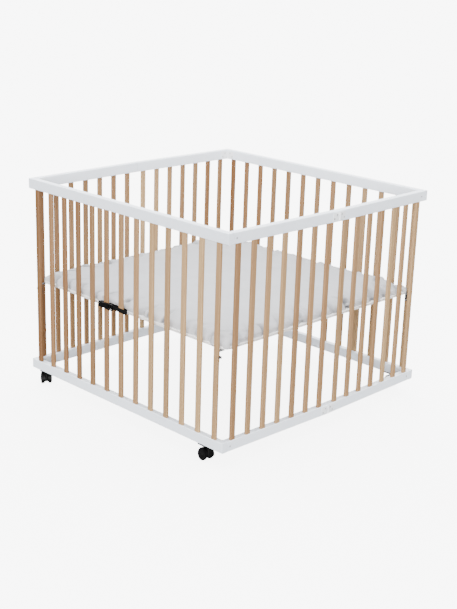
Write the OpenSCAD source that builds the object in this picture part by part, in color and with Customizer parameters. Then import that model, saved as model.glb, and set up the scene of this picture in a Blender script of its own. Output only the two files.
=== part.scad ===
// Folding wooden playpen on casters, millimetres, +Z up, origin at the floor under the centre.
// Two rigid sides (front and back) are joined by two folding sides (right and left) whose halves
// swing inward. Open, the folding sides rest a little past straight, which keeps them from folding
// by themselves. A padded base lifts out before the sides fold.

/* [Overall] */
// Length of the two rigid sides, along X
side_len = 1000; // [900:10:1100]
// Distance over the rigid sides along Y; folding flat needs at least 9 less than side_len
depth = 991; // [881:1:991]
// Height of the top of the top rails above the floor
height = 764; // [700:2:860]
// Height of the underside of the bottom rails above the floor
ground_gap = 52; // [50:1:60]

/* [Rails] */
// Thickness of every rail
rail_t = 22; // [20:1:26]
// Height of the top rails
top_rail_h = 36; // [32:1:45]
// Height of the bottom rails
bottom_rail_h = 35; // [30:1:45]
// Chamfer along the rail edges
rail_chamfer = 1.6; // [0.5:0.1:3]

/* [Slats] */
// Number of slats in a rigid side
slats_rigid = 13; // [11:2:15]
// Number of slats in one half of a folding side
slats_half = 7; // [5:1:7]
// Width of a slat
slat_w = 19; // [14:1:20]
// Thickness of a slat
slat_t = 10; // [8:0.5:10.5]
// How far the slats sit outside the middle plane of the rails
slat_out = 4.5; // [0:0.5:4.5]
// Spacing of the slats in a rigid side
pitch_rigid = 76; // [66:1:78]
// Spacing of the slats in a folding half
pitch_half = 68; // [60:1:70]
// First slat of a folding half, from the outer face of the rigid side
first_half = 48; // [42:0.5:52]

/* [Folding] */
// How far each half of a folding side leans outward past straight when the playpen is open
lean = 1.25; // [0:0.25:1.5]

/* [Base] */
// Underside of the base board above the floor
base_z = 382; // [360:1:400]
// Thickness of the base board
board_t = 9; // [6:1:12]
// Thickness of the mattress pad
pad_t = 29; // [20:1:32]
// Radius of the corners of the base
base_corner_r = 30; // [24:1:60]

/* [Casters] */
// Wheel diameter
wheel_d = 40; // [36:1:42]
// Width of one wheel
wheel_w = 12; // [10:1:13]
// Distance of the caster stems from the middle of the side
caster_x = 430; // [380:1:440]
// Trail of the wheels behind the stem
trail = 18; // [14:1:18]
// Heading of each caster's wheels: front right, front left, back left, back right
caster_heading = [171, 150, 210, 175];

/* [Hidden] */
$fn = 48;

// How far cuts run past a face, and how deep joined blocks sink into each other
past = 1;
join = 0.01;

white_lacquer = [0.93, 0.93, 0.94];
beech = [0.80, 0.63, 0.48];
steel = [0.75, 0.75, 0.76];
black_plastic = [0.08, 0.08, 0.08];
pad_grey = [0.84, 0.85, 0.87];
board_white = [0.90, 0.89, 0.87];

// Middle planes of the rigid and of the folding sides
rigid_y = depth / 2 - rail_t / 2;
fold_x = side_len / 2 - rail_t / 2;
// Heights of the undersides of the two rails
top_z = height - top_rail_h;
bottom_z = ground_gap;

// Slats run this far into each rail, in mortises a little larger than they are
tenon = 8;
mortise_gap = 0.1;
slat_edge = 1.4;

// Hinges: knuckles on vertical pins, at the inner corners and at the middle of the folding sides
knuckle_r = 3;
pin_r = 1.5;
pin_play = 0.05;
leaf_t = 1.5;
leaf_len = 30;
leaf_h = 28;
leaf_root = knuckle_r + 0.5;
knuckle_back = 2.2;
knuckle_h = 8;
knuckle_gap = 0.2;
corner_off = 4;
mid_off = 3.3;
// Clearances between the ends of neighbouring rails
corner_gap = 1.6;
mid_gap = 1.2;
corner_x = side_len / 2 - rail_t - corner_off;
corner_y = depth / 2 - rail_t - corner_off;
mid_x = side_len / 2 + mid_off;
// A half is longer than the straight one, so that its middle pin stays in the plane of symmetry
// when it leans; the pin itself then lies further out
mid_shift = (corner_y + (mid_x - corner_x) * sin(lean)) / cos(lean) - corner_y;
mid_pin_x = corner_x + (mid_x - corner_x) * cos(lean) + (corner_y + mid_shift) * sin(lean);
hinge_zs = [top_z + top_rail_h / 2, bottom_z + bottom_rail_h / 2];

// A folding half runs from the inner face of the rigid side to the middle
half_start = depth / 2 - rail_t - corner_gap;
half_end = mid_gap - mid_shift;

// Wood screws
screw_r = 1.5;
screw_head_r = 2.8;
screw_head_h = 0.9;
screw_len = 10;
// Places of a leaf's two screws: distance from the pin, and height from the middle of the leaf
leaf_screw_spots = [[12, 6], [24, -6]];
// Screw through the outer face of a folding side, near its corner
side_screw_in = 35;
side_screw_len = 8;
// Caps on the ends of the rails of a rigid side
cap_t = 2;
cap_inset = 0.3;

// Base: the board lies on brackets, the pad on the board
pad_gap = 3.5;
board_inset = 2;
pad_x = side_len / 2 - rail_t - pad_gap;
pad_y = depth / 2 - rail_t - pad_gap;
rest_gap = 0.2;
batten_w = 40;
batten_h = 16;
batten_x = 300;
batten_inset = 45;
bracket_w = 15;
bracket_t = 1.6;
bracket_leg = 23;
bracket_drop = 36;
bracket_screw_len = 8;
bracket_screw_drops = [9, 31];
ear_h = 8;
peg_r = 3;
peg_clear = 0.5;
peg_len = 7;
peg_drop = 18;
slat_outer_y = rigid_y + slat_out + slat_t / 2;
slat_inner_y = slat_outer_y - slat_t;
last_slat_x = (slats_rigid - 1) / 2 * pitch_rigid;

// Closing strap around two slats of the front side
strap_z = 400;
strap_h = 15;
strap_t = 1.6;
strap_play = 0.6;
strap_outer_y = slat_outer_y + strap_play;
strap_inner_y = slat_inner_y - strap_play;
strap_right = slat_w / 2 + 18;
strap_left = -pitch_rigid - slat_w / 2 - 28;
buckle_h = 22;
buckle_t = 6;
socket_x = -pitch_rigid - 29;
socket_len = 40;
plug_len = 32;
buckle_play = 0.3;
// Outer face of the webbing, then the outer face of the buckle lying on it
strap_face_y = strap_outer_y + strap_t;
buckle_face_y = strap_face_y + buckle_play + buckle_t;
socket_wall = 1.3;
socket_depth = 20;
cavity_h = 14;
tongue_len = 18;
tongue_h = cavity_h - 1;
tongue_t = buckle_t - 2 * socket_wall - 2 * buckle_play;

// Casters
plate_len = 68;
plate_w = 21;
plate_t = 4;
// The stem stands this far outward of the middle of its plate
plate_offset = 8;
stem_r = 4;
stem_play = 0.06;
stem_foot = 30;
plate_screw_x = 25;
boss_r = 6.3;
collar_r = 9;
collar_top = bottom_z - plate_t - 1;
collar_foot = wheel_d + 1.2;
hood_r = wheel_d / 2 + 2.5;
hood_inner_r = wheel_d / 2 + 0.8;
web_w = 13;
web_r = 14;
boss_foot = 22;
arm_h = 14;
hood_low = 5;
hood_rear_lift = 8;
hood_rear_tilt = 35;
wheel_gap = 0.5;
track = web_w + 2 * wheel_gap + wheel_w;
axle_r = 2.5;
axle_play = 0.06;
axle_cap_r = 4.5;
axle_cap_h = 1.5;
hub_recess = 2;
axle_z = wheel_d / 2;

function rigid_slats() = [for (i = [0:slats_rigid - 1]) (i - (slats_rigid - 1) / 2) * pitch_rigid];
function half_slats() = [for (i = [0:slats_half - 1]) -(depth / 2 - first_half) + i * pitch_half];

// ---- placing -------------------------------------------------------------------------------

// The front side is built about its middle plane with its outer face towards -Y
module at_front() { translate([0, -rigid_y, 0]) children(); }
// A folding side is built the same way, with local +X running from the front to the back
module at_right() { translate([fold_x, 0, 0]) rotate([0, 0, 90]) children(); }
module opposite_corner() { rotate([0, 0, 180]) children(); }
module flip_x() { mirror([1, 0, 0]) children(); }
module flip_y() { mirror([0, 1, 0]) children(); }

// ---- panels --------------------------------------------------------------------------------

function rail_profile(h, inset = 0) =
  let (t = rail_t / 2 - inset, c = rail_chamfer, low = inset, high = h - inset) [
    [-t + c, low], [t - c, low], [t, low + c], [t, high - c],
    [t - c, high], [-t + c, high], [-t, high - c], [-t, low + c]
  ];

function slat_profile(w, t, c) = [
  [-w / 2 + c, -t / 2], [w / 2 - c, -t / 2], [w / 2, -t / 2 + c], [w / 2, t / 2 - c],
  [w / 2 - c, t / 2], [-w / 2 + c, t / 2], [-w / 2, t / 2 - c], [-w / 2, -t / 2 + c]
];

// Straight rail from x0 to x1, with a row of mortises for slats
module rail(x0, x1, z0, h, slats, top) {
  mortise_z = top ? z0 - past : z0 + h - tenon - mortise_gap;
  difference() {
    translate([x0, 0, z0]) rotate([90, 0, 90])
      linear_extrude(height = x1 - x0) polygon(rail_profile(h));
    for (x = slats) translate([x, -slat_out, mortise_z])
      linear_extrude(height = tenon + mortise_gap + past)
        polygon(slat_profile(slat_w + 2 * mortise_gap, slat_t + 2 * mortise_gap, slat_edge));
  }
}

module slats(xs) {
  color(beech)
    for (x = xs) translate([x, -slat_out, bottom_z + bottom_rail_h - tenon])
      linear_extrude(height = top_z - bottom_z - bottom_rail_h + 2 * tenon)
        polygon(slat_profile(slat_w, slat_t, slat_edge));
}

module rigid_rail(top) {
  color(white_lacquer)
    rail(-side_len / 2 + cap_t, side_len / 2 - cap_t, top ? top_z : bottom_z,
         top ? top_rail_h : bottom_rail_h, rigid_slats(), top);
}

module rail_cap(z, h) {
  translate([side_len / 2 - cap_t, 0, z]) rotate([90, 0, 90])
    linear_extrude(height = cap_t) polygon(rail_profile(h, cap_inset));
}

module rail_caps() {
  color(white_lacquer) for (side = [0, 1]) mirror([side, 0, 0]) {
    rail_cap(top_z, top_rail_h);
    rail_cap(bottom_z, bottom_rail_h);
  }
}

module half_rail(top) {
  color(white_lacquer)
    rail(-half_start, -half_end, top ? top_z : bottom_z, top ? top_rail_h : bottom_rail_h,
         half_slats(), top);
}

// Rails with the pilot holes for their hinge screws and, in the bottom rails, the caster screws
module front_rail(top) {
  difference() {
    at_front() rigid_rail(top);
    if (!top) for (i = [0, 1]) plate_screw_holes(i);
    for (side = [0, 1]) mirror([side, 0, 0]) corner_frame() leaf_screw_holes(corner_off);
  }
}

module right_front_rail(top) {
  lean_out() difference() {
    at_right() half_rail(top);
    corner_frame() swap_to_side() leaf_screw_holes(corner_off);
    mid_frame() mid_to_front() leaf_screw_holes(mid_off);
    side_screw_holes();
  }
}

module right_front_slats() { lean_out() at_right() slats(half_slats()); }

module right_back_rail(top) { flip_y() right_front_rail(top); }

// ---- hinges --------------------------------------------------------------------------------

// Pin-centred frames: the front right corner, and the middle end of the half before it leans
module corner_frame() { translate([corner_x, -corner_y, 0]) children(); }
module mid_frame() { translate([mid_x, mid_shift, 0]) children(); }
// Leans the right side's front half outward about its corner pin
module lean_out() {
  corner_frame() rotate([0, 0, -lean]) translate([-corner_x, corner_y, 0]) children();
}
// From the rigid side's leaf to the folding side's leaf at a corner
module swap_to_side() { mirror([1, 1, 0]) children(); }
// From the rigid side's leaf to the leaf on the front half at the middle
module mid_to_front() { mirror([1, -1, 0]) children(); }

// One leaf at height z, its plate on the face at y = -off, with outer or middle knuckles
module leaf(off, outer) {
  middle_h = leaf_h - 2 * knuckle_h - 2 * knuckle_gap;
  bore = outer ? pin_r : pin_r + pin_play;
  lengths = outer ? [[-leaf_h / 2, knuckle_h], [leaf_h / 2 - knuckle_h, knuckle_h]]
                  : [[-middle_h / 2, middle_h]];
  difference() {
    translate([-leaf_len, -off, -leaf_h / 2]) cube([leaf_len - leaf_root, leaf_t, leaf_h]);
    for (spot = leaf_screw_spots) translate([-spot[0], -off - past, spot[1]])
      rotate([-90, 0, 0]) cylinder(r = screw_r, h = leaf_t + 2 * past, $fn = 24);
  }
  for (k = lengths) {
    difference() {
      union() {
        translate([-leaf_root - join, -off, k[0]]) cube([leaf_root + join, leaf_t, k[1]]);
        translate([-knuckle_back, -off, k[0]]) cube([knuckle_back, off, k[1]]);
        translate([0, 0, k[0]]) cylinder(r = knuckle_r, h = k[1]);
      }
      translate([0, 0, k[0] - past]) cylinder(r = bore, h = k[1] + 2 * past);
    }
  }
}

module leaf_screws(off) {
  for (z = hinge_zs, spot = leaf_screw_spots)
    translate([-spot[0], -off + leaf_t, z + spot[1]]) rotate([90, 0, 0]) wood_screw(screw_len);
}

module leaf_screw_holes(off) {
  for (z = hinge_zs, spot = leaf_screw_spots)
    translate([-spot[0], -off + leaf_t + past, z + spot[1]]) rotate([90, 0, 0])
      cylinder(r = screw_r, h = screw_len + past, $fn = 24);
}

// On the outer face of the right side, one screw in each rail near the front corner
module at_side_screws() {
  for (z = hinge_zs) translate([side_len / 2, -depth / 2 + side_screw_in, z])
    rotate([0, -90, 0]) children();
}

module side_screw_holes() {
  at_side_screws() translate([0, 0, -past])
    cylinder(r = screw_r, h = side_screw_len + past, $fn = 24);
}

// Screw with its head's underside at z = 0 and its shank along +Z
module wood_screw(len) {
  cylinder(r = screw_r, h = len, $fn = 24);
  translate([0, 0, -screw_head_h]) cylinder(r = screw_head_r, h = screw_head_h, $fn = 24);
}

module hinge_leaf_pair(off, outer) {
  color(white_lacquer) for (z = hinge_zs) translate([0, 0, z]) leaf(off, outer);
}

module hinge_pin_pair() {
  color(steel) for (z = hinge_zs) translate([0, 0, z - leaf_h / 2]) cylinder(r = pin_r, h = leaf_h);
}

module front_hinge_leaves() {
  for (side = [0, 1]) mirror([side, 0, 0]) corner_frame() hinge_leaf_pair(corner_off, true);
}

// The middle knuckles of the front half are the outer ones, those of the back half the middle one
module half_hinge_leaves(outer) {
  lean_out() {
    corner_frame() swap_to_side() hinge_leaf_pair(corner_off, false);
    mid_frame() mid_to_front() hinge_leaf_pair(mid_off, outer);
  }
}

module right_front_hinge_leaves() { half_hinge_leaves(true); }

module right_back_hinge_leaves() { flip_y() half_hinge_leaves(false); }

module front_hinge_pins() {
  for (side = [0, 1]) mirror([side, 0, 0]) corner_frame() hinge_pin_pair();
}

module right_mid_hinge_pins() { translate([mid_pin_x, 0, 0]) hinge_pin_pair(); }

module right_front_screws() {
  color(steel) lean_out() {
    corner_frame() swap_to_side() leaf_screws(corner_off);
    mid_frame() mid_to_front() leaf_screws(mid_off);
    at_side_screws() wood_screw(side_screw_len);
  }
}

module right_back_screws() { flip_y() right_front_screws(); }

// ---- base, brackets and strap --------------------------------------------------------------

module rounded_slab(half_x, half_y, r, z, h) {
  translate([0, 0, z]) linear_extrude(height = h) union() {
    square([2 * half_x, 2 * (half_y - r)], center = true);
    square([2 * (half_x - r), 2 * half_y], center = true);
    for (sx = [-1, 1], sy = [-1, 1]) translate([sx * (half_x - r), sy * (half_y - r)]) circle(r = r);
  }
}

module base_board() {
  color(board_white)
    rounded_slab(pad_x - board_inset, pad_y - board_inset, base_corner_r - board_inset,
                 base_z + rest_gap, board_t);
}

module base_battens() {
  color(beech) for (x = [-batten_x, batten_x])
    translate([x - batten_w / 2, -pad_y + batten_inset, base_z + rest_gap - batten_h])
      cube([batten_w, 2 * (pad_y - batten_inset), batten_h]);
}

module mattress() {
  color(pad_grey)
    rounded_slab(pad_x, pad_y, base_corner_r, base_z + rest_gap + board_t, pad_t - rest_gap);
}

// Angle bracket behind an end slat, with an ear that carries a stub peg beside the slat
module base_bracket() {
  ear_end = slat_w / 2 + 2 * (peg_clear + peg_r);
  difference() {
    union() {
      translate([-bracket_w / 2, 0, base_z - bracket_drop])
        cube([bracket_w, bracket_t, bracket_drop]);
      translate([0, 0, base_z - peg_drop - ear_h / 2]) cube([ear_end, bracket_t, ear_h]);
    }
    for (drop = bracket_screw_drops) translate([0, -past, base_z - drop])
      rotate([-90, 0, 0]) cylinder(r = screw_r, h = bracket_t + 2 * past, $fn = 24);
  }
  translate([-bracket_w / 2, 0, base_z - bracket_t]) cube([bracket_w, bracket_leg, bracket_t]);
  translate([ear_end - peg_clear - peg_r, 0, base_z - peg_drop]) rotate([90, 0, 0])
    cylinder(r = peg_r, h = peg_len);
}

module bracket_frame() { translate([last_slat_x, -slat_inner_y, 0]) children(); }

module front_base_brackets() {
  color(steel) for (side = [0, 1]) mirror([side, 0, 0]) bracket_frame() base_bracket();
}

module bracket_screws() {
  for (side = [0, 1]) mirror([side, 0, 0]) bracket_frame()
    for (drop = bracket_screw_drops) translate([0, bracket_t, base_z - drop]) rotate([90, 0, 0])
      wood_screw(bracket_screw_len);
}

module bracket_screw_holes() {
  for (side = [0, 1]) mirror([side, 0, 0]) bracket_frame()
    for (drop = bracket_screw_drops) translate([0, bracket_t, base_z - drop]) rotate([90, 0, 0])
      cylinder(r = screw_r, h = bracket_screw_len, $fn = 24);
}

module front_slats() {
  color(beech) difference() {
    at_front() slats(rigid_slats());
    bracket_screw_holes();
  }
}

module front_screws() {
  color(steel) {
    for (side = [0, 1]) mirror([side, 0, 0]) corner_frame() leaf_screws(corner_off);
    bracket_screws();
    for (i = [0, 1]) plate_screws(i);
  }
}

// Flat webbing: a closed band around two slats, with the buckle lying on its outer run
module closing_strap() {
  color(black_plastic) translate([0, 0, strap_z - strap_h / 2]) difference() {
    translate([strap_left, -strap_outer_y - strap_t, 0])
      cube([strap_right - strap_left, strap_outer_y - strap_inner_y + 2 * strap_t, strap_h]);
    translate([strap_left + strap_t, -strap_outer_y, -past])
      cube([strap_right - strap_left - 2 * strap_t, strap_outer_y - strap_inner_y,
            strap_h + 2 * past]);
  }
}

module buckle_body(x0, len) {
  translate([x0, -buckle_face_y, strap_z - buckle_h / 2]) cube([len, buckle_t, buckle_h]);
}

// Female half: a flat shell, open towards +X
module buckle_socket() {
  color(black_plastic) difference() {
    buckle_body(socket_x, socket_len);
    translate([socket_x + socket_len - socket_depth, -buckle_face_y + socket_wall,
               strap_z - cavity_h / 2])
      cube([socket_depth + past, buckle_t - 2 * socket_wall, cavity_h]);
  }
}

// Male half: its tongue lies in the socket and draws out along +X
module buckle_plug() {
  plug_x = socket_x + socket_len + buckle_play;
  color(black_plastic) {
    buckle_body(plug_x, plug_len);
    translate([plug_x - tongue_len, -buckle_face_y + (buckle_t - tongue_t) / 2,
               strap_z - tongue_h / 2]) cube([tongue_len + join, tongue_t, tongue_h]);
  }
}

// ---- casters -------------------------------------------------------------------------------

// Stem positions, in the order of caster_heading
function stem_at(i) = [[1, -1], [-1, -1], [-1, 1], [1, 1]][i];

module caster_frame(i) {
  translate([stem_at(i)[0] * caster_x, stem_at(i)[1] * rigid_y, 0]) children();
}

// The middle of caster i's plate, moved from its stem towards the middle of the side
module plate_frame(i) {
  caster_frame(i) translate([-stem_at(i)[0] * plate_offset, 0, 0]) children();
}

// Plate under the bottom rail, held by two screws, with the stem the fork turns on
module caster_plate(i) {
  difference() {
    plate_frame(i) translate([-plate_len / 2, -plate_w / 2, bottom_z - plate_t])
      cube([plate_len, plate_w, plate_t]);
    at_plate_screws(i) translate([0, 0, bottom_z - plate_t - past])
      cylinder(r = screw_r, h = plate_t + 2 * past, $fn = 24);
  }
  caster_frame(i) translate([0, 0, stem_foot])
    cylinder(r = stem_r, h = bottom_z - plate_t - stem_foot + join);
}

module at_plate_screws(i) {
  for (side = [-1, 1]) plate_frame(i) translate([side * plate_screw_x, 0, 0]) children();
}

module plate_screws(i) {
  at_plate_screws(i) translate([0, 0, bottom_z - plate_t]) wood_screw(screw_len);
}

module plate_screw_holes(i) {
  at_plate_screws(i) translate([0, 0, bottom_z - past])
    cylinder(r = screw_r, h = screw_len - plate_t + past, $fn = 24);
}

module front_caster_plates() {
  color(black_plastic) for (i = [0, 1]) caster_plate(i);
}

module back_caster_plates() {
  color(black_plastic) for (i = [2, 3]) caster_plate(i);
}

// Wheels trail along local +X, their axle lies along local Y
module along_axle(r, w) { rotate([90, 0, 0]) cylinder(r = r, h = w, center = true); }

// Hood over both wheels, open below the axle and at the rear
module fork_hood() {
  reach = 2 * hood_r;
  difference() {
    along_axle(hood_r, web_w + 2 * (wheel_gap + wheel_w));
    for (side = [-1, 1]) translate([0, side * (web_w / 2 + hood_r), 0])
      along_axle(hood_inner_r, 2 * hood_r);
    translate([-reach / 2 - past, -reach / 2, -reach - hood_low])
      cube([reach + 2 * past, reach, reach]);
    rotate([0, -hood_rear_tilt, 0]) translate([0, -reach / 2, hood_rear_lift - reach])
      cube([reach, reach, reach]);
  }
}

module fork_shape() {
  difference() {
    union() {
      translate([trail, 0, axle_z]) fork_hood();
      translate([trail, 0, axle_z]) along_axle(web_r, web_w);
      translate([0, 0, boss_foot]) cylinder(r = boss_r, h = collar_top - boss_foot);
      translate([0, -web_w / 2, boss_foot]) cube([trail, web_w, arm_h]);
      translate([0, 0, collar_foot]) cylinder(r = collar_r, h = collar_top - collar_foot);
    }
    translate([0, 0, stem_foot - past]) cylinder(r = stem_r + stem_play, h = collar_top);
    translate([trail, 0, axle_z]) along_axle(axle_r, web_w + 2 * past);
  }
}

module caster_fork(i) {
  color(black_plastic) caster_frame(i) rotate([0, 0, caster_heading[i]]) fork_shape();
}

// Twin wheels: rounded treads and a shallow recess round each hub
module wheel() {
  r = wheel_d / 2;
  w = wheel_w;
  bore = axle_r + axle_play;
  rotate([90, 0, 0]) rotate_extrude() polygon([
    [bore, -w / 2], [r - 2.5, -w / 2], [r - 0.8, -w / 2 + 0.9], [r, -w / 2 + 3], [r, w / 2 - 3],
    [r - 0.8, w / 2 - 0.9], [r - 2.5, w / 2], [r - 4, w / 2], [r - 5.5, w / 2 - hub_recess],
    [8, w / 2 - hub_recess], [6.5, w / 2], [bore, w / 2]
  ]);
}

module caster_wheels(i) {
  color(black_plastic) caster_frame(i) rotate([0, 0, caster_heading[i]])
    translate([trail, 0, axle_z]) {
      translate([0, -track / 2, 0]) wheel();
      mirror([0, 1, 0]) translate([0, -track / 2, 0]) wheel();
    }
}

module caster_axle(i) {
  end = track / 2 + wheel_w / 2 + wheel_gap;
  color(black_plastic) caster_frame(i) rotate([0, 0, caster_heading[i]])
    translate([trail, 0, axle_z]) {
      along_axle(axle_r, 2 * end);
      for (s = [-1, 1]) translate([0, s * (end + axle_cap_h / 2), 0])
        along_axle(axle_cap_r, axle_cap_h);
    }
}

// ---- nodes ---------------------------------------------------------------------------------

front_rail(true);  // front_top_rail
front_rail(false);  // front_bottom_rail
front_slats();
opposite_corner() front_rail(true);  // back_top_rail
opposite_corner() front_rail(false);  // back_bottom_rail
opposite_corner() front_slats();  // back_slats
at_front() rail_caps();  // front_rail_caps
opposite_corner() at_front() rail_caps();  // back_rail_caps
right_front_rail(true);  // right_front_top_rail
right_front_rail(false);  // right_front_bottom_rail
right_front_slats();
right_back_rail(true);  // right_back_top_rail
right_back_rail(false);  // right_back_bottom_rail
flip_y() right_front_slats();  // right_back_slats
flip_x() right_front_rail(true);  // left_front_top_rail
flip_x() right_front_rail(false);  // left_front_bottom_rail
flip_x() right_front_slats();  // left_front_slats
flip_x() right_back_rail(true);  // left_back_top_rail
flip_x() right_back_rail(false);  // left_back_bottom_rail
opposite_corner() right_front_slats();  // left_back_slats
front_hinge_leaves();
opposite_corner() front_hinge_leaves();  // back_hinge_leaves
right_front_hinge_leaves();
right_back_hinge_leaves();
flip_x() right_front_hinge_leaves();  // left_front_hinge_leaves
flip_x() right_back_hinge_leaves();  // left_back_hinge_leaves
front_hinge_pins();
opposite_corner() front_hinge_pins();  // back_hinge_pins
right_mid_hinge_pins();
flip_x() right_mid_hinge_pins();  // left_mid_hinge_pins
front_screws();
opposite_corner() front_screws();  // back_screws
right_front_screws();
right_back_screws();
flip_x() right_front_screws();  // left_front_screws
flip_x() right_back_screws();  // left_back_screws
front_base_brackets();
opposite_corner() front_base_brackets();  // back_base_brackets
base_board();
base_battens();
mattress();
closing_strap();
buckle_socket();
buckle_plug();
front_caster_plates();
back_caster_plates();
caster_fork(0);  // front_right_caster_fork
caster_fork(1);  // front_left_caster_fork
caster_fork(2);  // back_left_caster_fork
caster_fork(3);  // back_right_caster_fork
caster_wheels(0);  // front_right_caster_wheels
caster_wheels(1);  // front_left_caster_wheels
caster_wheels(2);  // back_left_caster_wheels
caster_wheels(3);  // back_right_caster_wheels
caster_axle(0);  // front_right_caster_axle
caster_axle(1);  // front_left_caster_axle
caster_axle(2);  // back_left_caster_axle
caster_axle(3);  // back_right_caster_axle
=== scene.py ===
# Folding wooden playpen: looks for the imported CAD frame. Metres, +Z up, floor at z = 0.
import math
import random

import bmesh
import bpy
import numpy as np
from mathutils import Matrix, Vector


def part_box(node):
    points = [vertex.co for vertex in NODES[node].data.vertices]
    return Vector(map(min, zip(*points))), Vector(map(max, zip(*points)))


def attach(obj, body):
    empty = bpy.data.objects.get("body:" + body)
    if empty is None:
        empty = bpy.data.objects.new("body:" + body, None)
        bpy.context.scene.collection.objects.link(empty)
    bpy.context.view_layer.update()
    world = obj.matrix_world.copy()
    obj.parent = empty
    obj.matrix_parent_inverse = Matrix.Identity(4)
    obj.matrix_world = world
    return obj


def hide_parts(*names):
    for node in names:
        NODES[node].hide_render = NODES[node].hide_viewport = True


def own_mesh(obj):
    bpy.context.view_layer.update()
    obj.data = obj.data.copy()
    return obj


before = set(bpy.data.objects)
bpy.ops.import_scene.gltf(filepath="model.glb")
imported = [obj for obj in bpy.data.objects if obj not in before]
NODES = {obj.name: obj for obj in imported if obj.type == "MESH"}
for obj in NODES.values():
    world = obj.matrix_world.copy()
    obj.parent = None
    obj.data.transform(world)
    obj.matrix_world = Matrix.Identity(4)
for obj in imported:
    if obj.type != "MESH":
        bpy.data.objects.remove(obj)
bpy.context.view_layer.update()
scene = bpy.context.scene

# ---- camera --------------------------------------------------------------------------------------

CAMERA_PLACE = (2.8045, -2.8339, 1.6069)
CAMERA_AZIMUTH = 44.4920
CAMERA_ELEVATION = 17.9131
CAMERA_ROLL = 1.8294
CAMERA_LENS = 67.950
SENSOR = 36.0


def make_camera():
    """Camera looking at the near corner, turned by its azimuth and elevation and then rolled."""
    a, e, roll = (math.radians(v) for v in (CAMERA_AZIMUTH, CAMERA_ELEVATION, CAMERA_ROLL))
    back = Vector((math.sin(a) * math.cos(e), -math.cos(a) * math.cos(e), math.sin(e)))
    right = (-back).cross(Vector((0, 0, 1))).normalized()
    up = right.cross(-back)
    rolled_right = math.cos(roll) * right + math.sin(roll) * up
    rolled_up = -math.sin(roll) * right + math.cos(roll) * up
    data = bpy.data.cameras.new("camera")
    data.lens = CAMERA_LENS
    data.sensor_width = SENSOR
    data.clip_end = 600
    camera = bpy.data.objects.new("camera", data)
    scene.collection.objects.link(camera)
    matrix = camera.matrix_world.copy()
    for row in range(3):
        matrix[row][0] = rolled_right[row]
        matrix[row][1] = rolled_up[row]
        matrix[row][2] = back[row]
        matrix[row][3] = CAMERA_PLACE[row]
    camera.matrix_world = matrix
    scene.camera = camera


make_camera()

# ---- material helpers ----------------------------------------------------------------------------

BEECH_DEEP = (0.145, 0.066, 0.024)
BEECH_PALE = (0.47, 0.310, 0.155)


class Tree:
    """A node tree under construction, with short calls for the nodes that the materials share."""

    def __init__(self, name):
        self.material = bpy.data.materials.new(name)
        self.material.use_nodes = True
        self.nodes = self.material.node_tree.nodes
        self.links = self.material.node_tree.links
        self.shader = self.nodes["Principled BSDF"]
        self.place = self.nodes.new("ShaderNodeTexCoord").outputs["Object"]

    def set(self, **values):
        """Constant values on the shader's own sockets, by name with _ for spaces."""
        for name, value in values.items():
            self.shader.inputs[name.replace("_", " ")].default_value = value

    def link(self, out, socket):
        self.links.new(out, socket)

    def math(self, operation, a, b=0.0):
        node = self.nodes.new("ShaderNodeMath")
        node.operation = operation
        for socket, value in zip(node.inputs, (a, b)):
            if isinstance(value, (int, float)):
                socket.default_value = value
            else:
                self.link(value, socket)
        return node.outputs[0]

    def axis(self, index):
        node = self.nodes.new("ShaderNodeSeparateXYZ")
        self.link(self.place, node.inputs[0])
        return node.outputs[index]

    def stretched(self, scale):
        """Object coordinates multiplied by a scale for each axis."""
        node = self.nodes.new("ShaderNodeMapping")
        node.inputs["Scale"].default_value = scale
        self.link(self.place, node.inputs["Vector"])
        return node.outputs[0]

    def noise(self, scale, detail=3.0, roughness=0.5, vector=None, offset=None):
        """Noise at `scale` periods per metre; offset, if given, is a fourth coordinate for each slat."""
        node = self.nodes.new("ShaderNodeTexNoise")
        node.inputs["Scale"].default_value = scale
        node.inputs["Detail"].default_value = detail
        node.inputs["Roughness"].default_value = roughness
        self.link(self.place if vector is None else vector, node.inputs["Vector"])
        if offset is not None:
            node.noise_dimensions = "4D"
            self.link(offset, node.inputs["W"])
        return node.outputs["Fac"]

    def steps(self, index, values):
        """The value listed for a whole-number index, as one flat step of a colour ramp each."""
        node = self.nodes.new("ShaderNodeValToRGB")
        node.color_ramp.interpolation = "CONSTANT"
        count = len(values)
        elements = node.color_ramp.elements
        elements[1].position = (count - 1) / count
        for k in range(1, count - 1):
            elements.new(k / count)
        for element, value in zip(elements, values):
            element.color = (value, value, value, 1.0)
        self.link(self.math("DIVIDE", self.math("ADD", index, 0.5), float(count)), node.inputs[0])
        return node.outputs[0]

    def spread(self, factor, low, high, to_low, to_high):
        """The factor's stretch from low to high, laid out from to_low to to_high and clamped there."""
        node = self.nodes.new("ShaderNodeMapRange")
        for name, value in zip(("From Min", "From Max", "To Min", "To Max"), (low, high, to_low, to_high)):
            node.inputs[name].default_value = value
        self.link(factor, node.inputs["Value"])
        return node.outputs[0]

    def mix(self, factor, a, b):
        """Colour a where the factor is 0 and b where it is 1."""
        node = self.nodes.new("ShaderNodeMix")
        node.data_type = "RGBA"
        for socket, value in zip((node.inputs[0], node.inputs[6], node.inputs[7]), (factor, a, b)):
            if isinstance(value, (int, float)):
                socket.default_value = value
            elif isinstance(value, tuple):
                socket.default_value = (*value, 1.0)
            else:
                self.link(value, socket)
        return node.outputs[2]

    def bump(self, height, distance, strength=1.0):
        node = self.nodes.new("ShaderNodeBump")
        node.inputs["Distance"].default_value = distance
        node.inputs["Strength"].default_value = strength
        self.link(height, node.inputs["Height"])
        self.link(node.outputs[0], self.shader.inputs["Normal"])


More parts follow.
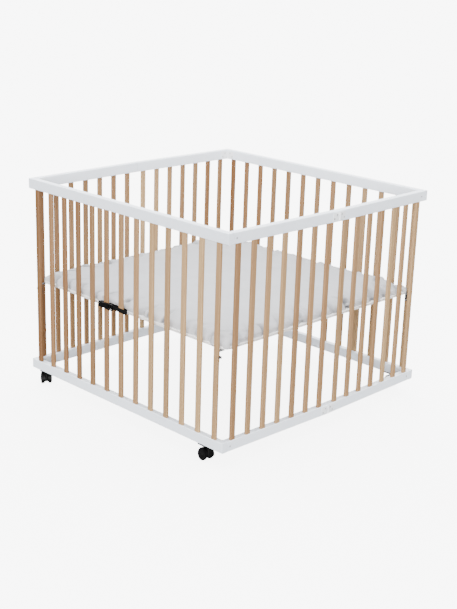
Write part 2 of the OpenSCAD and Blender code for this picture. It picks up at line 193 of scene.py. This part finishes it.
def beech(name, pitch_axis, first, pitch, tones_and_painted_light, long_axis=2):
    """Varnished beech. Each slat gets a listed level, 0 deep to 1 pale, in order along pitch_axis; a list
    holds the slats' own colour differences together with painted light that brightens some slats.
    """
    t = Tree(name)
    index = t.math("ROUND", t.math("DIVIDE", t.math("SUBTRACT", t.axis(pitch_axis), first), pitch))
    # Painted light: the listed levels carry a brightening across the row along with each slat's own colour.
    tone_and_painted_light = t.steps(index, tones_and_painted_light)
    chance = t.nodes.new("ShaderNodeTexWhiteNoise")
    chance.noise_dimensions = "1D"
    t.link(t.math("ADD", index, first * 100.0), chance.inputs["W"])
    slat_offset = t.math("MULTIPLY", index, 5.7)
    across, along = 260.0, 9.0
    grain_space = t.stretched([along if k == long_axis else across for k in range(3)])
    grain = t.noise(1.0, 5.0, 0.6, grain_space, slat_offset)
    cloud_space = t.stretched([2.0 if k == long_axis else 30.0 for k in range(3)])
    cloud = t.noise(1.0, 2.0, 0.5, cloud_space, slat_offset)
    fleck_space = t.stretched([90.0 if k == long_axis else 900.0 for k in range(3)])
    fleck = t.noise(1.0, 1.0, 0.4, fleck_space, slat_offset)
    base = t.mix(tone_and_painted_light, BEECH_DEEP, BEECH_PALE)
    base = t.mix(t.spread(chance.outputs["Value"], 0.0, 1.0, 0.0, 0.25), base, (0.27, 0.11, 0.038))
    base = t.mix(t.spread(grain, 0.35, 0.65, 0.0, 0.3), base, (0.13, 0.06, 0.024))
    base = t.mix(t.spread(cloud, 0.35, 0.7, 0.0, 0.2), base, (0.34, 0.20, 0.095))
    base = t.mix(t.spread(fleck, 0.62, 0.72, 0.0, 0.4), base, (0.15, 0.07, 0.03))
    t.link(base, t.shader.inputs["Base Color"])
    t.link(t.spread(grain, 0.3, 0.7, 0.5, 0.64), t.shader.inputs["Roughness"])
    t.set(Specular_IOR_Level=0.3)
    t.bump(t.math("SUBTRACT", grain, t.math("MULTIPLY", fleck, 0.6)), 0.00012)
    return t.material


def lacquer(name, long_axis):
    """White lacquer, with the wood's grain just showing through it along the rail."""
    t = Tree(name)
    grain = t.noise(1.0, 4.0, 0.6, t.stretched([6.0 if k == long_axis else 190.0 for k in range(3)]))
    peel = t.noise(900.0, 2.0)
    patch = t.noise(9.0, 2.0)
    t.link(t.mix(t.spread(patch, 0.3, 0.7, 0.0, 1.0), (0.83, 0.88, 0.96), (0.86, 0.905, 0.97)),
           t.shader.inputs["Base Color"])
    t.link(t.spread(peel, 0.3, 0.7, 0.30, 0.40), t.shader.inputs["Roughness"])
    t.set(Coat_Weight=0.2, Coat_Roughness=0.18)
    t.bump(t.math("ADD", grain, t.math("MULTIPLY", peel, 0.25)), 0.00008)
    return t.material


def powder_coat():
    t = Tree("white_powder_coat")
    peel = t.noise(1400.0, 2.0)
    t.link(t.mix(t.spread(t.noise(60.0), 0.3, 0.7, 0.0, 1.0), (0.84, 0.86, 0.89), (0.87, 0.885, 0.905)),
           t.shader.inputs["Base Color"])
    t.link(t.spread(peel, 0.3, 0.7, 0.32, 0.44), t.shader.inputs["Roughness"])
    t.bump(peel, 0.00006)
    return t.material


def zinc():
    t = Tree("zinc_plate")
    brushed = t.noise(1.0, 3.0, 0.6, t.stretched((2600.0, 2600.0, 260.0)))
    t.link(t.mix(t.spread(brushed, 0.3, 0.7, 0.0, 1.0), (0.50, 0.50, 0.52), (0.66, 0.66, 0.67)),
           t.shader.inputs["Base Color"])
    t.set(Metallic=1.0)
    t.link(t.spread(brushed, 0.3, 0.7, 0.26, 0.42), t.shader.inputs["Roughness"])
    t.bump(brushed, 0.00002)
    return t.material


def dark_steel():
    t = Tree("dark_painted_steel")
    peel = t.noise(1100.0, 2.0)
    t.link(t.mix(t.spread(t.noise(90.0), 0.3, 0.7, 0.0, 1.0), (0.035, 0.035, 0.037), (0.055, 0.054, 0.055)),
           t.shader.inputs["Base Color"])
    t.link(t.spread(peel, 0.3, 0.7, 0.36, 0.5), t.shader.inputs["Roughness"])
    t.bump(peel, 0.00004)
    return t.material


def board_paint():
    t = Tree("white_faced_board")
    fibre = t.noise(1.0, 4.0, 0.6, t.stretched((240.0, 30.0, 240.0)))
    t.link(t.mix(t.spread(fibre, 0.3, 0.7, 0.0, 1.0), (0.76, 0.755, 0.74), (0.81, 0.81, 0.80)),
           t.shader.inputs["Base Color"])
    t.link(t.spread(fibre, 0.3, 0.7, 0.5, 0.65), t.shader.inputs["Roughness"])
    t.bump(fibre, 0.00006)
    return t.material


def black_plastic(name, low, high, tint):
    """Moulded plastic with a fine spark-eroded texture; low and high are its roughness."""
    t = Tree(name)
    spark = t.noise(1700.0, 2.0)
    flow = t.noise(70.0, 3.0)
    worn = (tint * 1.5, tint * 1.5, tint * 1.55)
    t.link(t.mix(t.spread(flow, 0.3, 0.7, 0.0, 1.0), (tint, tint, tint), worn), t.shader.inputs["Base Color"])
    t.link(t.spread(flow, 0.3, 0.7, low, high), t.shader.inputs["Roughness"])
    t.set(Specular_IOR_Level=0.12)
    t.bump(spark, 0.00005)
    return t.material


def cotton():
    """Fine plain weave: two crossed sets of threads, with slubs, and painted shade darkening its creases."""
    t = Tree("pale_cotton")
    threads_per_m = 1900.0
    warp = t.math("SINE", t.math("MULTIPLY", t.axis(0), threads_per_m * math.pi))
    weft = t.math("SINE", t.math("MULTIPLY", t.axis(1), threads_per_m * math.pi))
    weave = t.math("MULTIPLY", warp, weft)
    slub = t.noise(1.0, 3.0, 0.6, t.stretched((700.0, 30.0, 700.0)))
    mottle = t.noise(14.0, 3.0)
    base = t.mix(t.spread(mottle, 0.3, 0.7, 0.0, 1.0), (0.455, 0.46, 0.475), (0.495, 0.50, 0.515))
    base = t.mix(t.spread(slub, 0.55, 0.75, 0.0, 0.25), base, (0.40, 0.405, 0.42))
    # Painted shade: ambient occlusion mixes the colour towards a dark grey down in the creases' hollows.
    crease_occlusion = t.nodes.new("ShaderNodeAmbientOcclusion")
    crease_occlusion.samples = 8
    crease_occlusion.only_local = True
    crease_occlusion.inputs["Distance"].default_value = 0.05
    painted_crease_shade = t.spread(crease_occlusion.outputs["AO"], 0.70, 0.995, 1.0, 0.0)
    base = t.mix(painted_crease_shade, base, (0.15, 0.152, 0.16))
    t.link(base, t.shader.inputs["Base Color"])
    t.set(Roughness=0.9, Specular_IOR_Level=0.2)
    t.bump(t.math("ADD", weave, slub), 0.00012, 0.6)
    return t.material


def webbing():
    """Herringbone polypropylene webbing: diagonal ribs that change direction along its middle."""
    t = Tree("black_webbing")
    ribs_per_m, middle_z = 900.0, 0.400
    folded = t.math("ABSOLUTE", t.math("SUBTRACT", t.axis(2), middle_z))
    ribs = t.math("SINE", t.math("MULTIPLY", t.math("ADD", t.axis(0), folded), ribs_per_m * math.pi))
    t.link(t.mix(t.spread(ribs, -1.0, 1.0, 0.0, 1.0), (0.001, 0.001, 0.0011), (0.004, 0.004, 0.0042)),
           t.shader.inputs["Base Color"])
    t.set(Roughness=0.8, Specular_IOR_Level=0.1)
    t.bump(ribs, 0.0002, 0.7)
    return t.material


# ---- the CAD nodes -------------------------------------------------------------------------------

# Slat rows: place of the first slat and pitch, then each slat's colour level along +X or +Y, 0 deep to 1
# pale. The levels mix the slats' own random colour differences with painted light: the front and back rows
# brighten towards +X and the left side towards its middle.
RIGID_ROW = (-0.456, 0.076)
FRONT_HALF_ROW = (-0.4475, 0.068)
BACK_HALF_ROW = (0.0395, 0.068)
SLAT_TONES_AND_PAINTED_LIGHT = {
    "front": (0.0, 0.3, 0.1, 0.1, 0.2, 0.3, 0.45, 0.65, 0.75, 0.55, 0.95, 1.0, 0.7),
    "back": (0.0, 0.1, 0.1, 0.2, 0.2, 0.3, 0.35, 0.4, 0.4, 0.7, 0.75, 0.7, 1.0),
    "right_front": (0.3, 0.55, 0.7, 0.75, 0.35, 0.6, 0.45),
    "right_back": (0.5, 0.5, 0.5, 0.45, 0.85, 0.65, 0.75),
    "left_front": (0.0, 0.2, 0.4, 0.3, 0.5, 0.35, 0.5),
    "left_back": (1.0, 0.9, 0.6, 0.35, 0.4, 0.1, 0.3),
}
BEVEL_ANGLE = math.radians(30)


def finish_cad(node, material, bevel):
    """Welds and softly bevels a CAD node's edges, and gives it its material."""
    piece = NODES[node]
    piece.data.materials.clear()
    piece.data.materials.append(material)
    for polygon in piece.data.polygons:
        polygon.use_smooth = True
    weld = piece.modifiers.new("weld", "WELD")
    weld.merge_threshold = 0.00001
    rounding = piece.modifiers.new("bevel", "BEVEL")
    rounding.width = bevel
    rounding.segments = 2
    rounding.limit_method = "ANGLE"
    rounding.angle_limit = BEVEL_ANGLE
    rounding.use_clamp_overlap = True
    piece.modifiers.new("normals", "WEIGHTED_NORMAL")


WHITE_X = lacquer("white_lacquer_x", 0)
WHITE_Y = lacquer("white_lacquer_y", 1)
COAT = powder_coat()
ZINC = zinc()
DARK = dark_steel()
CASTER_BLACK = black_plastic("caster_nylon", 0.40, 0.52, 0.0012)
WHEEL_BLACK = black_plastic("wheel_nylon", 0.48, 0.60, 0.0016)
BUCKLE_BLACK = black_plastic("buckle_acetal", 0.36, 0.48, 0.0010)

for side in ("front", "back"):
    finish_cad(side + "_slats", beech(side + "_beech", 0, *RIGID_ROW, SLAT_TONES_AND_PAINTED_LIGHT[side]), 0.0005)
    finish_cad(side + "_rail_caps", WHITE_Y, 0.0004)
    for level in ("top", "bottom"):
        finish_cad(f"{side}_{level}_rail", WHITE_X, 0.0006)
    finish_cad(side + "_base_brackets", DARK, 0.0003)
    finish_cad(side + "_caster_plates", CASTER_BLACK, 0.0004)
    finish_cad(side + "_hinge_leaves", COAT, 0.0003)
    finish_cad(side + "_hinge_pins", ZINC, 0.0002)
    finish_cad(side + "_screws", ZINC, 0.0003)

for side in ("right", "left"):
    finish_cad(side + "_mid_hinge_pins", ZINC, 0.0002)
    for half, row in (("front", FRONT_HALF_ROW), ("back", BACK_HALF_ROW)):
        name = f"{side}_{half}"
        finish_cad(name + "_slats", beech(name + "_beech", 1, *row, SLAT_TONES_AND_PAINTED_LIGHT[name]), 0.0005)
        for level in ("top", "bottom"):
            finish_cad(f"{name}_{level}_rail", WHITE_Y, 0.0006)
        finish_cad(name + "_hinge_leaves", COAT, 0.0003)
        finish_cad(name + "_screws", ZINC, 0.0003)

for corner in ("front_right", "front_left", "back_left", "back_right"):
    finish_cad(corner + "_caster_fork", CASTER_BLACK, 0.0005)
    finish_cad(corner + "_caster_wheels", WHEEL_BLACK, 0.0004)
    finish_cad(corner + "_caster_axle", CASTER_BLACK, 0.0003)

# ---- base: board, battens and padded cover -------------------------------------------------------


def new_piece(name, mesh, material, body, slot, *nodes):
    """A new piece on a body, with a material, standing for CAD nodes if any are named; slot is not used."""
    piece = bpy.data.objects.new(name, mesh)
    scene.collection.objects.link(piece)
    piece.data.materials.clear()
    piece.data.materials.append(material)
    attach(piece, body)
    if nodes:
        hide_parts(*nodes)
    return piece


def cad_copy(node):
    """A new mesh of a CAD node's shape, welded and without the edges inside its flat faces."""
    mesh = NODES[node].data.copy()
    bm = bmesh.new()
    bm.from_mesh(mesh)
    bmesh.ops.remove_doubles(bm, verts=bm.verts, dist=0.00001)
    bmesh.ops.dissolve_limit(bm, angle_limit=math.radians(1), verts=bm.verts, edges=bm.edges)
    bm.to_mesh(mesh)
    bm.free()
    return mesh


def soft_edges(piece, width):
    """A bevel of its own for a copied piece's sharp edges."""
    rounding = piece.modifiers.new("bevel", "BEVEL")
    rounding.width = width
    rounding.segments = 2
    rounding.limit_method = "ANGLE"
    rounding.angle_limit = BEVEL_ANGLE


board = new_piece("base_board_panel", cad_copy("base_board"), board_paint(), "base", "base_board",
                  "base_board")
soft_edges(board, 0.001)
battens = new_piece("base_batten_pair", cad_copy("base_battens"),
                    beech("batten_beech", 0, -0.3, 0.6, (0.5, 0.4), long_axis=1), "base", "beech_battens",
                    "base_battens")
soft_edges(battens, 0.0015)

# The cover is a closed shell round the pad and the board's rim, with its hem turned under the board
PAD_LOW, PAD_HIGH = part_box("mattress")
BOARD_LOW, BOARD_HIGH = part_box("base_board")
COVER_VOXEL = 0.007
COVER_CAP = 0.006
COVER_EDGE = 0.017
COVER_CROWN = 0.0025
EAR_REACH = 0.010
EAR_START = 0.93
EAR_Z = 0.402
EAR_HEIGHT = 0.010
HEM_WIDTH = 0.034
CREASE_SPACING = 0.070
CREASE_DEPTH = 0.0150
CREASE_WIDTH = 0.0085
CREASE_SLANT = 0.75


def edge_distance(x, y, half_x, half_y, radius):
    """Signed distance inwards from a rounded rectangle's outline."""
    qx, qy = np.abs(x) - (half_x - radius), np.abs(y) - (half_y - radius)
    outside = np.hypot(np.maximum(qx, 0), np.maximum(qy, 0))
    return radius - outside - np.minimum(np.maximum(qx, qy), 0)


def slab_mesh(half_x, half_y, radius, low, high, edge):
    """Closed rounded slab for the simulation: rings from the middle of the top round to the bottom."""
    steps = 10
    outline = []
    for sx, sy, start in ((1, 1, 0), (-1, 1, 90), (-1, -1, 180), (1, -1, 270)):
        for k in range(steps + 1):
            turn = math.radians(start + 90 * k / steps)
            outline.append((sx * (half_x - radius) + radius * math.cos(turn),
                            sy * (half_y - radius) + radius * math.sin(turn)))
    profile = [(edge * (1 - math.sin(t)), high - edge * (1 - math.cos(t)))
               for t in (math.radians(d) for d in range(0, 91, 15))]
    profile += [(0.0, low + 0.004), (0.001, low + 0.0012), (0.004, low)]
    bm = bmesh.new()
    rings = []
    for inset, z in profile:
        share_x, share_y = (half_x - inset) / half_x, (half_y - inset) / half_y
        rings.append([bm.verts.new((x * share_x, y * share_y, z)) for x, y in outline])
    count = len(outline)
    for upper, lower in zip(rings, rings[1:]):
        for k in range(count):
            bm.faces.new((upper[k], lower[k], lower[(k + 1) % count], upper[(k + 1) % count]))
    bm.faces.new(rings[0])
    bm.faces.new(list(reversed(rings[-1])))
    bmesh.ops.recalc_face_normals(bm, faces=bm.faces)
    mesh = bpy.data.meshes.new("cover")
    bm.to_mesh(mesh)
    bm.free()
    return mesh


def apply_modifiers(piece):
    """Applies every modifier on the piece to its mesh."""
    evaluated = piece.evaluated_get(bpy.context.evaluated_depsgraph_get())
    mesh = bpy.data.meshes.new_from_object(evaluated)
    piece.modifiers.clear()
    piece.data = mesh


def coordinates(mesh):
    """All vertex places, as an array with a row for each."""
    flat = np.empty(len(mesh.vertices) * 3)
    mesh.vertices.foreach_get("co", flat)
    return flat.reshape(-1, 3)


def set_coordinates(mesh, points):
    mesh.vertices.foreach_set("co", points.reshape(-1))
    mesh.update()


def simulate(piece):
    """Inflates the remeshed cover like a stuffed cushion, with cloth that is a little too large."""
    before = coordinates(piece.data)
    pinned = piece.vertex_groups.new(name="hem")
    flat_bottom = [int(k) for k in np.flatnonzero(before[:, 2] < PAD_LOW.z - 0.004)]
    pinned.add(flat_bottom, 1.0, "REPLACE")
    cloth = piece.modifiers.new("cloth", "CLOTH")
    settings = cloth.settings
    settings.quality = 5
    settings.mass = 0.2
    settings.tension_stiffness = settings.compression_stiffness = 12
    settings.shear_stiffness = 6
    settings.bending_stiffness = 0.15
    settings.shrink_min = -0.035
    settings.use_pressure = True
    settings.uniform_pressure_force = 4
    settings.effector_weights.gravity = 0
    settings.vertex_group_mass = "hem"
    cloth.collision_settings.use_collision = False
    for step in range(1, 21):
        scene.frame_set(step)
    apply_modifiers(piece)
    scene.frame_set(1)
    moved = coordinates(piece.data) - before
    length = np.linalg.norm(moved, axis=1, keepdims=True)
    moved *= np.minimum(1, COVER_CAP / np.maximum(length, 1e-9))
    set_coordinates(piece.data, before + moved)


def crease_field(points, half_x, half_y, rng):
    """Depth of the slanted creases that the tight hem pulls into the cover's rounded edge."""
    depth = np.zeros(len(points))
    x, y, z = points.T
    for across, along, half_a, half_l in ((y, x, half_y, half_x), (x, y, half_x, half_y)):
        for sign in (-1, 1):
            inward = half_a - sign * across
            travel = inward + (PAD_HIGH.z - z)
            place = -half_l + 0.05
            while place < half_l - 0.04:
                slant = CREASE_SLANT * (1 if rng.random() < 0.8 else -0.6) * rng.uniform(0.7, 1.2)
                width = CREASE_WIDTH * rng.uniform(0.7, 1.5)
                reach = rng.uniform(0.06, 0.13)
                offset = along - (place + slant * travel)
                groove = np.exp(-(offset / width) ** 2)
                ridge = np.exp(-((offset - 2.1 * width) / width) ** 2)
                fade = np.clip(1 - travel / reach, 0, 1) ** 1.3 * (inward < 0.14)
                depth += CREASE_DEPTH * rng.uniform(0.45, 1.1) * (groove - 0.45 * ridge) * fade
                place += CREASE_SPACING * rng.uniform(0.65, 1.35)
    return depth


def vertex_normals(mesh):
    """All vertex normals, as an array with a row for each."""
    flat = np.empty(len(mesh.vertices) * 3)
    mesh.vertices.foreach_get("normal", flat)
    return flat.reshape(-1, 3)


def shape_cover(piece):
    """Crown, corner ears, creases and the recess under the hem, all after the simulation."""
    points = coordinates(piece.data)
    normals = vertex_normals(piece.data)
    half_x, half_y = PAD_HIGH.x, PAD_HIGH.y
    rng = random.Random(11)
    points -= normals * crease_field(points, half_x, half_y, rng)[:, None]
    x, y, z = points.T
    inside = edge_distance(x, y, half_x, half_y, 0.03)
    top = z > PAD_LOW.z + 0.01
    points[:, 2] += np.where(top, COVER_CROWN * np.clip(inside / 0.3, 0, 1), 0)
    near_x = np.clip((np.abs(x) / half_x - EAR_START) / (1 - EAR_START), 0, 1)
    near_y = np.clip((np.abs(y) / half_y - EAR_START) / (1 - EAR_START), 0, 1)
    ear = EAR_REACH * near_x * near_y * np.exp(-((z - EAR_Z) / EAR_HEIGHT) ** 2)
    points[:, 0] += np.sign(x) * ear
    points[:, 1] += np.sign(y) * ear
    under = (z < BOARD_LOW.z + 0.006) & (inside > HEM_WIDTH)
    points[:, 2] = np.where(under, BOARD_LOW.z + 0.004, points[:, 2])
    points[:, 2] = np.maximum(points[:, 2], BOARD_LOW.z - 0.0006)
    set_coordinates(piece.data, points)


def make_cover():
    half_x, half_y = PAD_HIGH.x, PAD_HIGH.y
    start = slab_mesh(half_x - 0.003, half_y - 0.003, 0.026, BOARD_LOW.z - 0.0004, PAD_HIGH.z - 0.005,
                      COVER_EDGE)
    cover = bpy.data.objects.new("mattress_cover", start)
    scene.collection.objects.link(cover)
    remesh = cover.modifiers.new("remesh", "REMESH")
    remesh.mode = "VOXEL"
    remesh.voxel_size = COVER_VOXEL
    apply_modifiers(cover)
    simulate(cover)
    subdivide = cover.modifiers.new("subdivide", "SUBSURF")
    subdivide.levels = subdivide.render_levels = 1
    apply_modifiers(cover)
    shape_cover(cover)
    for polygon in cover.data.polygons:
        polygon.use_smooth = True
    cover.data.materials.clear()
    cover.data.materials.append(cotton())
    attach(cover, "base")
    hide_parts("mattress")
    return cover


cover = make_cover()
for piece in (board, battens, cover):
    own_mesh(piece)

# ---- closing strap and buckle --------------------------------------------------------------------

STRAP_LOW, STRAP_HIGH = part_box("closing_strap")
SOCKET_LOW, SOCKET_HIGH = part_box("buckle_socket")
PLUG_LOW, PLUG_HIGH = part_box("buckle_plug")
WEB_T = 0.0015
WEB_DROOP = 0.0025


def band_path():
    """Closed path of the webbing seen from above, with round ends; the slight droop away from slats is added
    in ribbon.
    """
    x0, x1 = STRAP_LOW.x + WEB_T / 2, STRAP_HIGH.x - WEB_T / 2
    y0, y1 = STRAP_LOW.y + WEB_T / 2, STRAP_HIGH.y - WEB_T / 2
    radius = (y1 - y0) / 2
    middle = (y0 + y1) / 2
    turn = [math.pi * k / 14 for k in range(15)]
    runs = 24
    path = [(x0 + radius + (x1 - x0 - 2 * radius) * k / runs, y0) for k in range(runs)]
    path += [(x1 - radius + radius * math.sin(t), middle - radius * math.cos(t)) for t in turn]
    path += [(x1 - radius - (x1 - x0 - 2 * radius) * k / runs, y1) for k in range(1, runs)]
    path += [(x0 + radius - radius * math.sin(t), middle + radius * math.cos(t)) for t in turn]
    return path


def ribbon(path, low, high):
    """Flat webbing standing on edge along a closed path, as a solid with rounded selvedges."""
    half_t = WEB_T / 2
    middle, half_h = (low + high) / 2, (high - low) / 2
    section = [(-half_t, -half_h + 0.0007), (0, -half_h), (half_t, -half_h + 0.0007),
               (half_t, half_h - 0.0007), (0, half_h), (-half_t, half_h - 0.0007)]
    count = len(path)
    span = STRAP_HIGH.x - STRAP_LOW.x
    bm = bmesh.new()
    rings = []
    for k, (x, y) in enumerate(path):
        before, after = Vector(path[k - 1]), Vector(path[(k + 1) % count])
        along = (after - before).normalized()
        out = Vector((along.y, -along.x))
        end = abs(x - (STRAP_LOW.x + STRAP_HIGH.x) / 2) / (span / 2)
        droop = WEB_DROOP * end ** 6
        rings.append([bm.verts.new((x + out.x * a, y + out.y * a, middle + b - droop)) for a, b in section])
    for one, two in zip(rings, rings[1:] + rings[:1]):
        for k in range(len(section)):
            nxt = (k + 1) % len(section)
            bm.faces.new((one[k], two[k], two[nxt], one[nxt]))
    bmesh.ops.recalc_face_normals(bm, faces=bm.faces)
    mesh = bpy.data.meshes.new("webbing")
    bm.to_mesh(mesh)
    bm.free()
    for polygon in mesh.polygons:
        polygon.use_smooth = True
    return mesh


new_piece("strap_webbing", ribbon(band_path(), STRAP_LOW.z, STRAP_HIGH.z), webbing(), "front_side",
          "black_webbing", "closing_strap")


def plate(outline, y0, y1, edge, holes=()):
    """Mesh of a flat plate facing -Y from its outline in X and Z, with rounded edges and any holes."""
    curve = bpy.data.curves.new("plate", "CURVE")
    curve.dimensions = "2D"
    curve.fill_mode = "BOTH"
    curve.extrude = (y1 - y0) / 2 - edge
    curve.bevel_depth = edge
    curve.bevel_resolution = 2
    curve.offset = -edge
    for loop in (outline, *holes):
        spline = curve.splines.new("POLY")
        spline.points.add(len(loop) - 1)
        for point, (x, z) in zip(spline.points, loop):
            point.co = (x, z, 0, 1)
        spline.use_cyclic_u = True
    holder = bpy.data.objects.new("plate", curve)
    scene.collection.objects.link(holder)
    bpy.context.view_layer.update()
    mesh = bpy.data.meshes.new_from_object(holder.evaluated_get(bpy.context.evaluated_depsgraph_get()))
    bpy.data.objects.remove(holder)
    middle = (y0 + y1) / 2
    for vertex in mesh.vertices:
        x, z, depth = vertex.co
        vertex.co = (x, middle - depth, z)
    return mesh


def join(name, meshes):
    """One welded mesh of several closed ones."""
    bm = bmesh.new()
    for mesh in meshes:
        bm.from_mesh(mesh)
    bmesh.ops.remove_doubles(bm, verts=bm.verts, dist=0.000001)
    bmesh.ops.recalc_face_normals(bm, faces=bm.faces)
    joined = bpy.data.meshes.new(name)
    bm.to_mesh(joined)
    bm.free()
    return joined


def rounded_outline(x0, x1, z0, z1, radius, waist=0.0):
    """Rounded rectangle in X and Z, with its long sides drawn in by waist at their middle."""
    points = []
    for cx, cz, start in ((x1 - radius, z1 - radius, 0), (x0 + radius, z1 - radius, 90),
                          (x0 + radius, z0 + radius, 180), (x1 - radius, z0 + radius, 270)):
        turns = [math.radians(start + step) for step in range(0, 91, 15)]
        points += [(cx + radius * math.cos(t), cz + radius * math.sin(t)) for t in turns]
        if start in (0, 180) and waist:
            inward = -waist if start == 0 else waist
            edge = z1 if start == 0 else z0
            ends = (x1 - radius, x0 + radius) if start == 0 else (x0 + radius, x1 - radius)
            points += [(ends[0] + (ends[1] - ends[0]) * k / 8, edge + inward * math.sin(math.pi * k / 8))
                       for k in range(1, 8)]
    return points


def make_socket():
    """Female half: two shells and side walls with windows where the prongs spring out."""
    x0, x1, y0, y1 = SOCKET_LOW.x, SOCKET_HIGH.x, SOCKET_LOW.y, SOCKET_HIGH.y
    z0, z1 = SOCKET_LOW.z, SOCKET_HIGH.z
    wall, rim = 0.0013, 0.0042
    shell_x0 = x0 + 0.012
    shell = rounded_outline(shell_x0, x1, z0, z1, 0.004, 0.0022)
    grip = []
    for left in (shell_x0 + 0.006, shell_x0 + 0.010, shell_x0 + 0.014):
        grip.append(rounded_outline(left, left + 0.0015, z0 + 0.008, z1 - 0.008, 0.0006))
    side_walls = [rounded_outline(shell_x0 + 0.002, x1 - 0.012, low, high, 0.0008)
                  for low, high in ((z1 - rim, z1 - 0.002), (z0 + 0.002, z0 + rim))]
    web_bar = rounded_outline(x0, shell_x0 + 0.004, z0 + 0.0005, z1 - 0.0005, 0.002)
    web_slot = rounded_outline(x0 + 0.0035, x0 + 0.0075, z0 + 0.0025, z1 - 0.0025, 0.001)
    return join("socket", [
        plate(shell, y0, y0 + wall, 0.0004, grip),
        plate(shell, y1 - wall, y1, 0.0004),
        plate(side_walls[0], y0 + wall, y1 - wall, 0.0002),
        plate(side_walls[1], y0 + wall, y1 - wall, 0.0002),
        plate(web_bar, y0 + 0.001, y1 - 0.001, 0.0006, [web_slot]),
    ])


def make_plug():
    """Male half: ladder bars that the webbing threads through, a centre guide and two hooked prongs."""
    y0, y1, z0, z1 = PLUG_LOW.y, PLUG_HIGH.y, PLUG_LOW.z, PLUG_HIGH.z
    body_x, x1 = SOCKET_HIGH.x + 0.0003, PLUG_HIGH.x
    tongue_x = PLUG_LOW.x
    middle = (z0 + z1) / 2
    body = rounded_outline(body_x, x1, z0, z1, 0.003)
    ladder = []
    for left in (body_x + 0.009, body_x + 0.0205):
        ladder.append(rounded_outline(left, left + 0.006, z0 + 0.0025, z1 - 0.0025, 0.0012))
    guide = rounded_outline(tongue_x + 0.002, body_x + 0.002, middle - 0.0014, middle + 0.0014, 0.0012)
    parts = [plate(body, y0 + 0.0006, y1 - 0.0006, 0.0009, ladder),
             plate(guide, y0 + 0.0017, y1 - 0.0017, 0.0003)]
    for side in (-1, 1):
        arm = [(body_x + 0.002, 0.0042), (tongue_x + 0.004, 0.0052), (tongue_x, 0.0042), (tongue_x, 0.0058),
               (tongue_x + 0.0035, 0.0080), (tongue_x + 0.007, 0.0080), (tongue_x + 0.0072, 0.0068),
               (body_x + 0.002, 0.0066)]
        loop = [(x, middle + side * z) for x, z in arm]
        parts.append(plate(loop, y0 + 0.0017, y1 - 0.0017, 0.0003))
    return join("plug", parts)


new_piece("strap_buckle_socket", make_socket(), BUCKLE_BLACK, "front_side", "black_buckle",
          "buckle_socket")
new_piece("strap_buckle_plug", make_plug(), BUCKLE_BLACK, "buckle", "black_buckle", "buckle_plug")

# ---- floor and light -----------------------------------------------------------------------------

FLOOR_SIZE = 500.0
FLOOR_GLOW = 6.2
DOME_ABOVE = 7.4
DOME_TOWARDS = (-0.42, 0.42, 0.805)
DOME_BELOW = 0.45
DOME_START = 0.25
KEY_POWER = 9.6
KEY_TURN = (78, 0, 40)
KEY_SPREAD = 50


def make_floor():
    """A white sweep that the camera sees but that throws no light on the object."""
    mesh = bpy.data.meshes.new("floor")
    half = FLOOR_SIZE / 2
    corners = [(-half, -half, 0), (half, -half, 0), (half, half, 0), (-half, half, 0)]
    mesh.from_pydata(corners, [], [(0, 1, 2, 3)])
    floor = bpy.data.objects.new("floor", mesh)
    scene.collection.objects.link(floor)
    t = Tree("studio_floor")
    t.set(Base_Color=(0.5, 0.5, 0.5, 1.0), Roughness=1.0, Specular_IOR_Level=0.0,
          Emission_Color=(1.0, 1.0, 1.0, 1.0), Emission_Strength=FLOOR_GLOW)
    mesh.materials.append(t.material)
    floor.visible_diffuse = False
    floor.visible_glossy = False


def make_light():
    """An even white studio: a dome brightest above and behind, and one broad key from the front."""
    world = bpy.data.worlds.new("studio")
    scene.world = world
    world.use_nodes = True
    nodes, links = world.node_tree.nodes, world.node_tree.links
    height = nodes.new("ShaderNodeVectorMath")
    height.operation = "DOT_PRODUCT"
    height.inputs[1].default_value = DOME_TOWARDS
    links.new(nodes.new("ShaderNodeTexCoord").outputs["Generated"], height.inputs[0])
    strength = nodes.new("ShaderNodeMapRange")
    strength.inputs["From Min"].default_value = DOME_START
    strength.inputs["To Min"].default_value = DOME_BELOW
    strength.inputs["To Max"].default_value = DOME_ABOVE
    links.new(height.outputs["Value"], strength.inputs["Value"])
    sky = nodes["Background"]
    sky.inputs["Color"].default_value = (0.97, 0.985, 1.0, 1.0)
    links.new(strength.outputs[0], sky.inputs["Strength"])
    data = bpy.data.lights.new("key", "SUN")
    data.energy = KEY_POWER
    data.angle = math.radians(KEY_SPREAD)
    key = bpy.data.objects.new("key", data)
    scene.collection.objects.link(key)
    key.rotation_euler = [math.radians(angle) for angle in KEY_TURN]


make_floor()
make_light()
